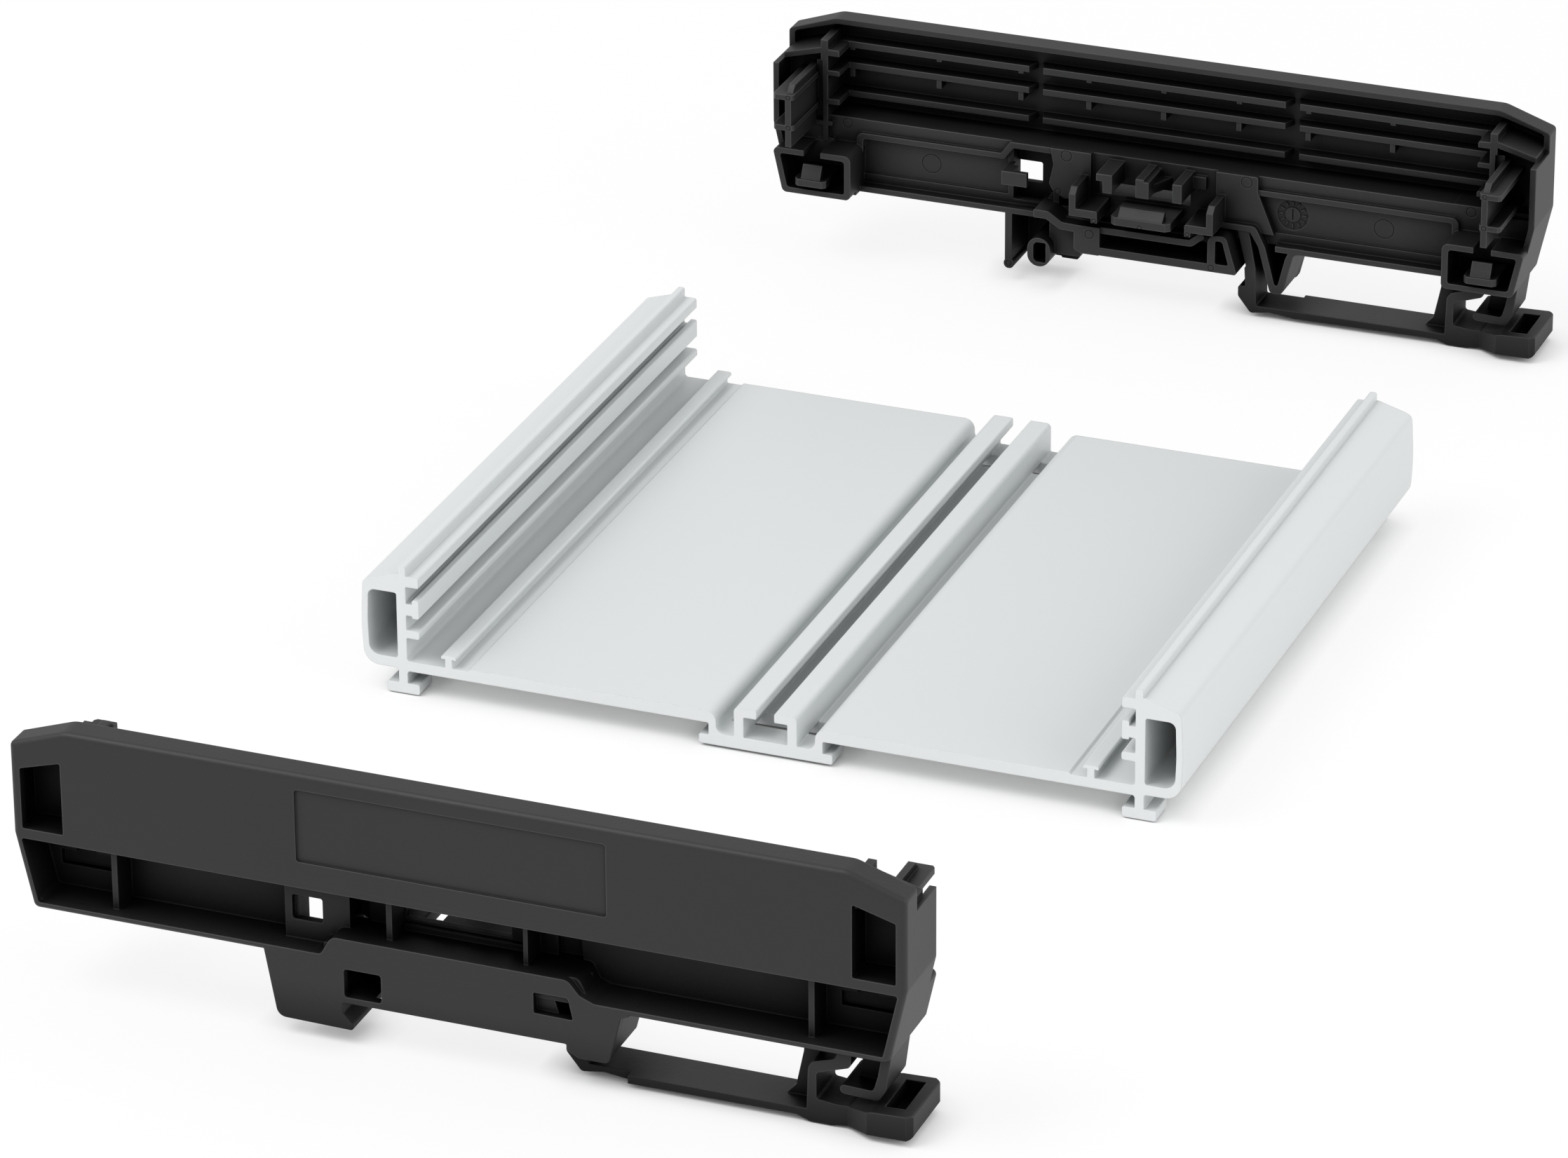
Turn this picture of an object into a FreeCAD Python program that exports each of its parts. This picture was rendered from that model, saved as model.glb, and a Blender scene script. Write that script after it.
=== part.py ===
import FreeCAD
import Part
import math
import os

# Din rail enclosure in three pieces: a light extruded base profile that carries the
# circuit board, and two dark moulded side elements that plug onto its two ends.
# The photograph shows both side elements taken off, so every piece stands on the
# floor by itself. Millimetres, X across the rail feet, Y along the profile, Z up.

# Driving sizes of the base profile
board_width = 122.0
board_side_gap = 0.2
profile_length = 118.0
groove_height = 2.2
plate_thickness = 1.75
web_thickness = 1.5
box_width = 5.0
box_wall = 1.0
box_height = 11.8
rib_reach = 2.25
rib_thickness = 1.8
nib_height = 1.4
rail_stem_height = 2.2
rail_flange_width = 5.6
rail_flange_thickness = 1.8
channel_gap = 3.0
channel_inside = 7.4
channel_wall = 1.6
channel_height = 1.75
channel_depth = 3.4
trough_width = 2.1
strip_width = 22.5
strip_thickness = 1.65
latch_window_start = 4.85
latch_window_length = 4.5

# Driving sizes of the side elements
element_wall = 1.45
skin = 1.05
element_top = 19.0
element_bottom = -11.0
edge_radius = 0.9
seat_depth = 9.3
rim_depth = 4.4
rib_depth = 4.2
side_depth = 12.3
floor_depth = 10.3
pocket_depth = 15.1
foot_depth = 12.9
finger_depth = 15.3
post_depth = 21.5
tongue_end = 16.4
label_width = 48.8
label_recess = 0.3
push_clearance = 0.15
slide_clearance = 0.3

# Driving sizes of the rail clip
rail_width = 35.0
rail_thickness = 1.0
rail_play = 0.5
hook_reach = 1.6
front_lip_depth = 8.3
rear_lip_depth = 2.0
bar_thickness = 1.4

# Where the pieces stand
front_gap = 108.4
rear_gap = 80.8
front_shift = -6.0
rear_shift = -1.4

# Places that follow from the profile sizes
web_inner = board_width / 2 + board_side_gap
web_outer = web_inner + web_thickness
cavity_inner = web_outer + 0.1
cavity_outer = cavity_inner + box_width
half_profile = cavity_outer + box_wall
rib_inner = web_inner - rib_reach
stem_centre = (web_inner + web_outer) / 2
rail_flange_top = -plate_thickness - rail_stem_height
rail_flange_bottom = rail_flange_top - rail_flange_thickness
upper_rib_top = box_height + 3.1
upper_rib_bottom = upper_rib_top - rib_thickness
lip_top = upper_rib_bottom - groove_height
lip_bottom = lip_top - 3.2
lower_rib_top = lip_bottom - groove_height
lower_rib_bottom = lower_rib_top - 1.4
nib_top = upper_rib_top + 0.3 + nib_height
channel_outer = channel_inside / 2 + channel_wall
trough_outer = channel_outer + trough_width
strip_half = strip_width / 2
strip_top = -channel_depth - 0.45
strip_bottom = strip_top - strip_thickness
floor_raise = 0.35


def outline(points):
    """A closed face from corner points (x, z) or (x, z, radius)."""
    count = len(points)
    starts = []
    ends = []
    for index in range(count):
        x, z = points[index][0], points[index][1]
        radius = points[index][2] if len(points[index]) > 2 else 0.0
        here = FreeCAD.Vector(x, 0, z)
        before = FreeCAD.Vector(points[index - 1][0], 0, points[index - 1][1]) - here
        after_point = points[(index + 1) % count]
        after = FreeCAD.Vector(after_point[0], 0, after_point[1]) - here
        reach = 0.0
        if radius > 0:
            angle = before.getAngle(after)
            reach = radius / math.tan(angle / 2)
            reach = min(reach, before.Length * 0.49, after.Length * 0.49)
        before.normalize()
        after.normalize()
        starts.append((here + before * reach, here, reach))
        ends.append(here + after * reach)
    edges = []
    for index in range(count):
        start, corner, reach = starts[index]
        end = ends[index]
        if reach > 0:
            to_start = start - corner
            to_end = end - corner
            half = to_start.getAngle(to_end) / 2
            radius = reach * math.tan(half)
            middle_way = to_start + to_end
            middle_way.normalize()
            middle = corner + middle_way * (radius / math.sin(half) - radius)
            edges.append(Part.Arc(start, middle, end).toShape())
        following = starts[(index + 1) % count][0]
        if (following - end).Length > 1e-6:
            edges.append(Part.makeLine(end, following))
    return Part.Face(Part.Wire(edges))


def prism(points, depth_from, depth_to):
    """An outline pushed along Y from one depth to another."""
    face = outline(points)
    face.translate(FreeCAD.Vector(0, depth_from, 0))
    return face.extrude(FreeCAD.Vector(0, depth_to - depth_from, 0))


def block(x_from, x_to, depth_from, depth_to, z_from, z_to):
    low = min(x_from, x_to)
    corner = FreeCAD.Vector(low, depth_from, z_from)
    return Part.makeBox(abs(x_to - x_from), depth_to - depth_from, z_to - z_from, corner)


def plan_prism(points, z_from, z_to):
    """A plan outline (x, depth) pushed up from one height to another."""
    corners = [FreeCAD.Vector(x, depth, z_from) for x, depth in points]
    face = Part.Face(Part.makePolygon(corners + [corners[0]]))
    return face.extrude(FreeCAD.Vector(0, 0, z_to - z_from))


def side_prism(points, x_from, x_to):
    """A side outline (depth, z) pushed across from one x to another."""
    corners = [FreeCAD.Vector(x_from, depth, z) for depth, z in points]
    face = Part.Face(Part.makePolygon(corners + [corners[0]]))
    return face.extrude(FreeCAD.Vector(x_to - x_from, 0, 0))


def mirror_x(shape):
    return shape.mirror(FreeCAD.Vector(0, 0, 0), FreeCAD.Vector(1, 0, 0))


def both_sides(shapes):
    return shapes + [mirror_x(shape) for shape in shapes]


def join(shapes):
    return shapes[0].multiFuse(shapes[1:]).removeSplitter()


# Base profile
def profile_half():
    """Corner points of the right half, from the bottom centre round to the top centre."""
    curve = 1.85
    return [
        (0, strip_bottom),
        (strip_half, strip_bottom, 0.3),
        (strip_half, strip_top, 0.3),
        (trough_outer + 2.2, strip_top, 0.2),
        (trough_outer + 2.2, -plate_thickness, 0.3),
        (web_inner, -plate_thickness, 0.5),
        (web_inner, rail_flange_top, 0.2),
        (stem_centre - rail_flange_width / 2, rail_flange_top, 0.3),
        (stem_centre - rail_flange_width / 2, rail_flange_bottom, 0.4),
        (stem_centre + rail_flange_width / 2, rail_flange_bottom, 0.4),
        (stem_centre + rail_flange_width / 2, rail_flange_top, 0.3),
        (web_outer, rail_flange_top, 0.2),
        (web_outer, -1.4, 0.5),
        (half_profile - 0.2, -1.4, 2.7),
        (half_profile + 0.2, box_height / 2, 40),
        (half_profile - 0.2, box_height + 1.65, 1.4),
        (web_outer + 0.1, box_height + 3.4),
        (web_outer - 0.3, box_height + 3.4),
        (web_outer - 0.3, nib_top, 0.35),
        (web_inner - 0.1, nib_top, 0.35),
        (web_inner - 0.1, upper_rib_top, 0.15),
        (rib_inner, upper_rib_top, 0.4),
        (rib_inner, upper_rib_bottom, 0.2),
        (web_inner, upper_rib_bottom, 0.2),
        (web_inner, lip_top - 0.8, 0.2),
        (rib_inner + 1.2, lip_top - 0.8),
        (rib_inner + 1.2, lip_top, 0.3),
        (rib_inner, lip_top, 0.3),
        (rib_inner, lip_bottom, 0.3),
        (rib_inner + 1.2, lip_bottom, 0.3),
        (rib_inner + 1.2, lip_bottom + 0.4),
        (web_inner, lip_bottom + 0.4, 0.2),
        (web_inner, lower_rib_top, 0.2),
        (rib_inner, lower_rib_top, 0.4),
        (rib_inner, lower_rib_bottom, 0.4),
        (web_inner, lower_rib_bottom, 0.2),
        (web_inner, 0, 0.6),
        (web_inner - 6.6, 0, 0.2),
        (web_inner - 6.6, 1.55, 0.1),
        (web_inner - 5.85, 1.4, 0.2),
        (web_inner - 5.95, 2.1, 0.3),
        (web_inner - 8.45, 2.1, 0.3),
        (web_inner - 8.55, 1.4, 0.2),
        (web_inner - 7.8, 1.55, 0.1),
        (web_inner - 7.8, 0, 0.2),
        (web_inner - 10.4, 0),
        (web_inner - 10.8, floor_raise),
        (trough_outer + 0.95, floor_raise, curve),
        (trough_outer + 0.95, -channel_depth, curve),
        (channel_outer, -channel_depth, 0.3),
        (channel_outer, channel_height, 0.8),
        (channel_gap / 2, channel_height, 0.3),
        (channel_gap / 2, 0.15, 0.2),
        (channel_inside / 2, 0.15, 0.2),
        (channel_inside / 2, -channel_depth, 0.2),
        (0, -channel_depth),
    ]


def make_profile():
    half = profile_half()
    left = [(-p[0],) + tuple(p[1:]) for p in reversed(half) if p[0] > 0]
    centre_bottom = half[0]
    centre_top = half[-1]
    points = [centre_bottom] + half[1:-1] + [centre_top] + left
    body = prism(points, 0, profile_length)
    cavity = [
        (cavity_inner, 0.35, 0.5),
        (cavity_outer - 0.1, 0.35, 1.9),
        (cavity_outer + 0.1, box_height / 2, 30),
        (cavity_outer - 0.1, box_height, 1.2),
        (cavity_inner, box_height, 0.4),
    ]
    tunnel = prism(cavity, -1, profile_length + 1)
    body = body.cut(tunnel).cut(mirror_x(tunnel))
    far_start = profile_length - latch_window_start - latch_window_length
    for start in (latch_window_start, far_start):
        far = start + latch_window_length
        window = block(-strip_half - 1, strip_half + 1, start, far, strip_bottom - 1,
                       -channel_depth + 0.1)
        rail_cut = block(stem_centre - rail_flange_width, stem_centre + rail_flange_width,
                         start, far, rail_flange_bottom - 1, rail_flange_top)
        body = body.cut(window).cut(rail_cut).cut(mirror_x(rail_cut))
    return body


# Side element: outer wall with its windows
knee_height = 1.1
half_element = half_profile + 1.5
lower_half_element = half_element - 2.7
corner_height = element_top - 3.1
bend_x = web_inner + 0.1
band_bottom = 0.45
lip_height = element_bottom + 1.1
rail_seat = -17.4
hook_wall = -(rail_width + rail_play) / 2
stop_wall = hook_wall + rail_width + rail_play
raised_lip = -6.75
pocket_inner = web_inner - 6.5


def housing_points(inset):
    """Outline of the housing, moved in by a wall."""
    slope = (half_element - lower_half_element) / (knee_height - element_bottom)
    low = lower_half_element - inset + slope * inset
    return [
        (-low, element_bottom + inset, 1.0),
        (low, element_bottom + inset, 1.0),
        (half_element - inset, knee_height, 2.0),
        (half_element - inset, corner_height - inset * 0.3, 0.8),
        (bend_x, element_top - inset, 4.0),
        (-bend_x, element_top - inset, 4.0),
        (-half_element + inset, corner_height - inset * 0.3, 0.8),
        (-half_element + inset, knee_height, 2.0),
    ]


def hook_points():
    """Outline of the block below the housing, with the rail hook and the stop."""
    hook_bottom = rail_seat - rail_thickness - 3.4
    return [
        (-30.3, element_bottom + 0.6),
        (-30.2, element_bottom),
        (-28.3, hook_bottom + 0.2, 1.6),
        (hook_wall + hook_reach, hook_bottom, 0.6),
        (hook_wall + hook_reach - 0.1, hook_bottom + 1.0, 0.6),
        (hook_wall, rail_seat - rail_thickness - 0.7, 0.4),
        (hook_wall, rail_seat, 0.4),
        (stop_wall, rail_seat, 0.4),
        (stop_wall + 0.1, rail_seat - 1.1, 0.5),
        (stop_wall + 1.9, rail_seat - 2.0, 0.6),
        (stop_wall + 6.6, rail_seat - 2.0, 1.0),
        (26.3, element_bottom - 0.6, 0.6),
        (27.6, element_bottom),
        (27.6, element_bottom + 0.6),
    ]


def shoulders():
    """Top edge of the raised part of the lower wall, from left to right."""
    return [
        (-21.0, lip_height, 1.0),
        (-19.3, raised_lip, 1.7),
        (18.1, raised_lip, 1.7),
        (19.9, raised_lip - 2.2, 1.0),
        (22.2, lip_height, 1.2),
    ]


def corner_window():
    return [
        (web_outer - 0.6, 2.1, 0.3),
        (half_element - 1.55, 2.1, 0.3),
        (half_element - 1.55, 12.0, 0.4),
        (web_outer - 0.6, 13.9, 0.3),
    ]


def rounded_front(solid, radius):
    """The same solid with its edges at depth zero rounded."""
    edges = []
    for edge in solid.Edges:
        if all(abs(vertex.Y) < 1e-6 for vertex in edge.Vertexes):
            edges.append(edge)
    return solid.makeFillet(radius, edges)


def outer_wall():
    wall = rounded_front(prism(housing_points(0), 0, element_wall), edge_radius)
    wall = wall.fuse(rounded_front(prism(hook_points(), 0, element_wall), 0.3))
    side = (half_element - lower_half_element) / (knee_height - element_bottom)
    low = lower_half_element - 1.1 + side * 1.1
    high = half_element - 1.1 - side * (knee_height - band_bottom)
    band = prism([(-low, lip_height, 0.4)] + shoulders() + [
        (low, lip_height, 0.4),
        (high, band_bottom, 0.4),
        (-high, band_bottom, 0.4),
    ], -1, element_wall + 1)
    wall = wall.cut(band)
    window = prism(corner_window(), -1, element_wall + 1)
    wall = wall.cut(window).cut(mirror_x(window))
    wall = wall.cut(prism([
        (-label_width / 2, 4.75, 0.5),
        (label_width / 2, 4.75, 0.5),
        (label_width / 2, 16.5, 0.5),
        (-label_width / 2, 16.5, 0.5),
    ], -1, label_recess))
    wall = wall.cut(prism([
        (-17.4, -16.3, 0.5),
        (-11.45, -16.3, 0.5),
        (-11.45, -11.65, 0.5),
        (-17.4, -11.65, 0.5),
    ], -1, element_wall + 1))
    wall = wall.cut(prism([
        (12.7, -13.1, 0.3),
        (18.9, -13.2, 0.3),
        (18.1, -9.65, 0.6),
        (12.7, -9.7, 0.3),
    ], -1, element_wall + 1))
    return wall


# Side element: rim, side walls and floor behind the outer wall
rim_step = box_height + 0.5


def shell_walls():
    deep = prism(housing_points(0), 0.95, side_depth)
    deep = deep.cut(prism(housing_points(skin), 0, side_depth + 1))
    wide = half_element + 5
    above = block(-wide, wide, rim_depth, side_depth + 1, rim_step, element_top + 5)
    below = block(-web_inner + 6.5, web_inner - 6.5, floor_depth, side_depth + 1,
                  element_bottom - 5, 0)
    behind_stop = block(12.9, 23.0, 4.0, side_depth + 1, element_bottom - 5, -9.0)
    return [deep.cut(above).cut(below).cut(behind_stop)]


def long_ribs():
    """Board guide ribs along the outer wall, in three stretches, with small pips below."""
    shapes = []
    root = element_wall - 0.2
    heights = [
        (upper_rib_top - 1.2, upper_rib_top, 0.45),
        (lip_top - 1.15, lip_top, 1.6),
        (lower_rib_top - 1.15, lower_rib_top, 0),
    ]
    inner_end = 23.4
    outer_start = 24.1
    slant = 1.0
    for low, high, pip in heights:
        shapes.append(plan_prism([
            (-inner_end, root), (inner_end, root),
            (inner_end - slant, rib_depth), (-inner_end + slant, rib_depth)], low, high))
        outer = plan_prism([
            (outer_start, root), (web_inner + 0.1, root),
            (web_inner + 0.1, rib_depth), (outer_start + slant, rib_depth)], low, high)
        shapes.extend(both_sides([outer]))
        if pip > 0:
            places = [0, 13.9, -13.9, 26.6, -26.6, 42.0, -42.0, 58.4, -58.4]
            for x in places:
                shapes.append(block(x - 0.45, x + 0.45, root, rib_depth - 0.1, low - pip, low + 0.1))
    return shapes


def end_walls():
    """The wall that carries on the profile's web, with its short ribs and sloping top."""
    root = element_wall - 0.2
    slope = (1.75) / (half_profile - 0.2 - web_outer - 0.1)
    far = half_element - skin + 0.1
    top_at_web = box_height + 3.4
    top_far = top_at_web - slope * (far - web_outer - 0.1)
    shapes = [
        block(web_inner - 0.1, web_inner + 0.85, root, seat_depth, 1.0, top_at_web - 1.8),
        block(web_inner - 0.1, web_inner + 0.85, 7.0, seat_depth, -2.6, 1.1),
        block(web_inner - 0.1, web_outer - 0.3, root, seat_depth, top_at_web - 2.5, nib_top),
        prism([
            (web_outer - 0.4, top_at_web - 1.1), (far, top_far - 1.0),
            (far, top_far), (web_outer - 0.4, top_at_web)], root, seat_depth),
        prism([
            (rib_inner, upper_rib_top - 1.2), (web_inner + 0.1, upper_rib_top - 1.2),
            (web_inner + 0.1, upper_rib_top), (rib_inner, upper_rib_top - 0.1, 0.3)],
            root, seat_depth),
        prism([
            (rib_inner, lip_top - 0.9), (web_inner + 0.1, lip_top - 0.9),
            (web_inner + 0.1, lip_top), (rib_inner, lip_top, 0.3)], root, seat_depth),
        prism([
            (rib_inner, lower_rib_top - 1.0), (web_inner + 0.1, lower_rib_top - 1.0),
            (web_inner + 0.1, lower_rib_top), (rib_inner, lower_rib_top, 0.3)],
            root, seat_depth),
        block(web_inner - 6.6, far, root, seat_depth - 1.1, 1.0, 2.05),
        block(web_inner - 0.9, web_outer + 0.7, 6.8, seat_depth, 0.35, 1.15),
        block(web_inner - 1.2, web_outer + 0.4, 6.8, seat_depth - 0.3, -2.9, -2.1),
        block(web_inner + 0.5, far, 7.0, seat_depth - 0.4, -2.9, 1.1),
        block(pocket_inner - 0.2, web_inner + 0.1, 7.0, seat_depth - 1.1, -2.9, 1.9),
    ]
    return both_sides(shapes)


def posts():
    """An H shaped post on each side that enters the profile's box channel."""
    plate_inner = cavity_inner + 0.6
    plate_outer = plate_inner + 1.1
    flange_outer = cavity_outer - 1.0
    low = 0.35 + push_clearance
    high = box_height - push_clearance
    bevel = 2.2
    root_depth = 5.5
    plate = side_prism([
        (root_depth, low), (post_depth, low), (post_depth, high - bevel),
        (post_depth - bevel, high), (root_depth, high)], plate_inner, plate_outer)
    far = half_element - skin + 0.1
    back = prism([
        (web_inner + 0.6, 1.6), (far, 1.6), (far, 12.6), (web_inner + 0.6, 14.2)],
        root_depth, root_depth + 1.1)
    near_back = block(web_inner + 0.6, plate_inner + 0.1, root_depth, seat_depth - 0.9, 1.6, 12.4)
    shapes = [plate, back, near_back]
    for centre in (4.1, 9.9):
        flange = plan_prism([
            (cavity_inner + push_clearance, root_depth), (flange_outer, root_depth),
            (flange_outer, post_depth - 0.5), (flange_outer - 0.4, post_depth),
            (cavity_inner + push_clearance + 0.3, post_depth),
            (cavity_inner + push_clearance, post_depth - 0.5)], centre - 0.5, centre + 0.5)
        shapes.append(flange)
    return both_sides(shapes)


# Side element: corner pockets that take the profile's T rails
slot_half = web_thickness / 2 + 0.85
pocket_roof = rail_flange_top + slide_clearance


def pockets():
    slope = (half_element - lower_half_element) / (knee_height - element_bottom)
    roof_top = pocket_roof + 1.05
    start = 7.0

    def side_at(z, inset):
        return lower_half_element - inset + slope * (z - element_bottom)

    outer = [
        (pocket_inner, element_bottom, 1.0),
        (side_at(element_bottom, 0), element_bottom, 1.0),
        (side_at(roof_top, 0), roof_top, 0.9),
        (pocket_inner, roof_top, 1.2),
    ]
    inner = [
        (pocket_inner + 1.15, element_bottom + 1.0, 0.5),
        (side_at(element_bottom + 1.0, 1.1), element_bottom + 1.0, 0.7),
        (side_at(pocket_roof, 1.1), pocket_roof, 0.5),
        (pocket_inner + 1.15, pocket_roof, 0.6),
    ]
    tube = prism(outer, start, pocket_depth).cut(prism(inner, start + 1.2, pocket_depth + 1))
    rail_low = rail_flange_bottom - 0.8
    rail_recess = prism([
        (stem_centre - 4.1, rail_low), (stem_centre + 4.1, rail_low),
        (stem_centre + 4.1, rail_flange_top - 0.2), (stem_centre + slot_half, rail_flange_top - 0.2),
        (stem_centre + slot_half, rail_flange_top + 1.0), (stem_centre - slot_half, rail_flange_top + 1.0),
        (stem_centre - slot_half, rail_flange_top - 0.2), (stem_centre - 4.1, rail_flange_top - 0.2)],
        start - 0.5, start + 1.2)
    back = block(pocket_inner + 0.6, side_at(-8, 1.5) + 0.6, start + 1.0, seat_depth - 0.1,
                 rail_low - 0.6, pocket_roof + 0.4)
    tube = tube.cut(rail_recess).fuse(back)
    slot = plan_prism([
        (stem_centre - slot_half, 9.2), (stem_centre + slot_half, 9.2),
        (stem_centre + slot_half, pocket_depth + 1),
        (stem_centre - slot_half, pocket_depth + 1)], pocket_roof - 1, roof_top + 2)
    tube = tube.cut(slot)
    tongue_top = element_bottom + 3.4
    tongue_bottom = element_bottom + 2.1
    tongue = plan_prism([
        (stem_centre - 2.9, start), (stem_centre + 2.9, start),
        (stem_centre + 2.9, tongue_end - 0.6), (stem_centre + 2.3, tongue_end),
        (stem_centre - 2.3, tongue_end), (stem_centre - 2.9, tongue_end - 0.6)],
        tongue_bottom, tongue_top)
    wedge_top = rail_flange_bottom + 0.5
    catch = seat_depth + latch_window_start + push_clearance
    wedge = side_prism([
        (catch, tongue_top - 0.1), (tongue_end - 0.3, tongue_top - 0.1),
        (tongue_end - 0.5, tongue_top + 0.2), (catch + 0.5, wedge_top), (catch, wedge_top)],
        stem_centre - 1.8, stem_centre + 1.8)
    front_rib = block(pocket_inner - 0.1, pocket_inner + 0.8, 2.2, start + 0.3,
                      element_bottom + 0.6, 1.4)
    return both_sides([tube, tongue, wedge, front_rib])


# Side element: lower wall between the pockets, with two framed recesses
def lower_wall():
    face_depth = 8.2
    panel_depth = 7.7
    frame_depth = 8.9
    high = 2.0
    wall = block(-pocket_inner - 0.5, pocket_inner + 0.5, 6.8, face_depth,
                 element_bottom + 0.5, high)
    left_recess = prism([
        (-pocket_inner - 0.1, -8.2, 0.3), (-26.9, -8.2, 0.3), (-26.9, -0.5, 0.3),
        (-28.6, -1.4, 0.6), (-pocket_inner - 0.1, -1.4, 1.2)], panel_depth, face_depth + 1)
    right_recess = prism([
        (22.0, -8.2, 0.3), (pocket_inner + 0.1, -8.2, 0.3),
        (pocket_inner + 0.1, -1.4, 1.2), (19.4, -1.4, 0.3)], panel_depth, face_depth + 1)
    wall = wall.cut(left_recess).cut(right_recess)
    centre_opening = block(-10.2, 6.6, 6, face_depth + 1, -5.4, -3.2)
    window_opening = prism([
        (-26.6, -9.0, 0.4), (-16.0, -9.0, 0.4), (-16.0, 0.9, 0.4), (-26.6, 0.9, 0.4)],
        6, face_depth + 1)
    right_opening = prism([
        (13.9, -8.4, 0.3), (18.0, -8.4, 0.3), (17.2, 0.9, 0.3), (13.9, 0.9, 0.3)],
        6, face_depth + 1)
    wall = wall.cut(centre_opening).cut(window_opening).cut(right_opening)
    shelf = block(-web_inner, web_inner, element_wall - 0.2, face_depth, 0.9, high)
    frame_left = prism([
        (-pocket_inner - 1.1, -4.0), (-pocket_inner + 0.1, -4.0), (-pocket_inner + 0.1, -1.4, 0.5),
        (-27.9, -1.4, 0.4), (-26.2, 0.9, 0.4), (-18.8, 0.9), (-18.8, 2.0), (-26.8, 2.0, 0.4),
        (-28.5, -0.35, 0.4), (-pocket_inner - 1.1, -0.35, 1.3)], 7.0, frame_depth)
    frame_right = prism([
        (19.1, -0.35), (19.1, -1.4), (pocket_inner - 0.1, -1.4, 0.5),
        (pocket_inner - 0.1, -4.0), (pocket_inner + 1.1, -4.0),
        (pocket_inner + 1.1, -0.35, 1.3)], 7.0, frame_depth)
    plateau_left = prism([
        (-19.2, 2.1), (-11.6, 2.1), (-11.6, -7.1), (-16.6, -7.1, 0.8), (-18.7, -6.0, 1.2),
        (-19.4, -4.6, 0.6), (-18.6, -1.0)], 7.9, seat_depth - 0.1)
    plateau_right = prism([
        (11.6, 2.1), (19.3, 2.1, 0.5), (19.3, -0.8, 0.4), (22.4, -8.4), (20.2, -8.4),
        (19.6, -7.6, 0.4), (11.6, -7.6)], 7.9, seat_depth - 0.1)
    return [wall, shelf, frame_left, frame_right, plateau_left, plateau_right]


def pad_and_dividers():
    """The pad with its square window, the clip beside it and the dividers of the long opening."""
    root = element_wall - 0.2
    pad_front = 3.6
    clip_top = -plate_thickness - 0.2
    pad = block(-28.15, -17.75, pad_front, pad_front + 1.2, element_bottom + 0.6, 1.2)
    pad = pad.cut(prism([
        (-27.0, -6.8, 0.4), (-22.1, -6.8, 0.4), (-22.1, -2.8, 0.4), (-27.0, -2.8, 0.4)],
        pad_front - 1, pad_front + 2))
    shapes = [
        pad,
        block(-28.15, -27.1, pad_front, 7.4, element_bottom + 0.6, 1.2),
        block(-27.4, -26.4, 4.5, 8.2, element_bottom + 0.6, 1.2),
        block(-18.8, -17.75, pad_front, 8.4, element_bottom + 0.6, 1.2),
        block(-11.3, -10.4, 2.2, 8.0, raised_lip - 0.6, 1.2),
        block(10.35, 11.05, 2.2, 8.0, raised_lip - 0.6, 1.2),
        prism([(-22.4, lip_height)] + shoulders() + [
            (23.6, lip_height), (23.6, lip_height - 0.8), (20.8, lip_height - 0.8),
            (17.4, raised_lip - 1.2, 1.0), (-18.6, raised_lip - 1.2, 1.0),
            (-20.2, lip_height - 0.8), (-22.4, lip_height - 0.8)], root, 7.4),
        block(-27.0, -26.0, 8.0, foot_depth, clip_top - 2.55, clip_top),
        block(-26.5, -22.3, foot_depth - 1.0, foot_depth, clip_top - 2.55, clip_top),
        block(-26.5, -24.9, floor_depth - 0.7, foot_depth, clip_top - 0.8, clip_top),
    ]
    return shapes


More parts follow.
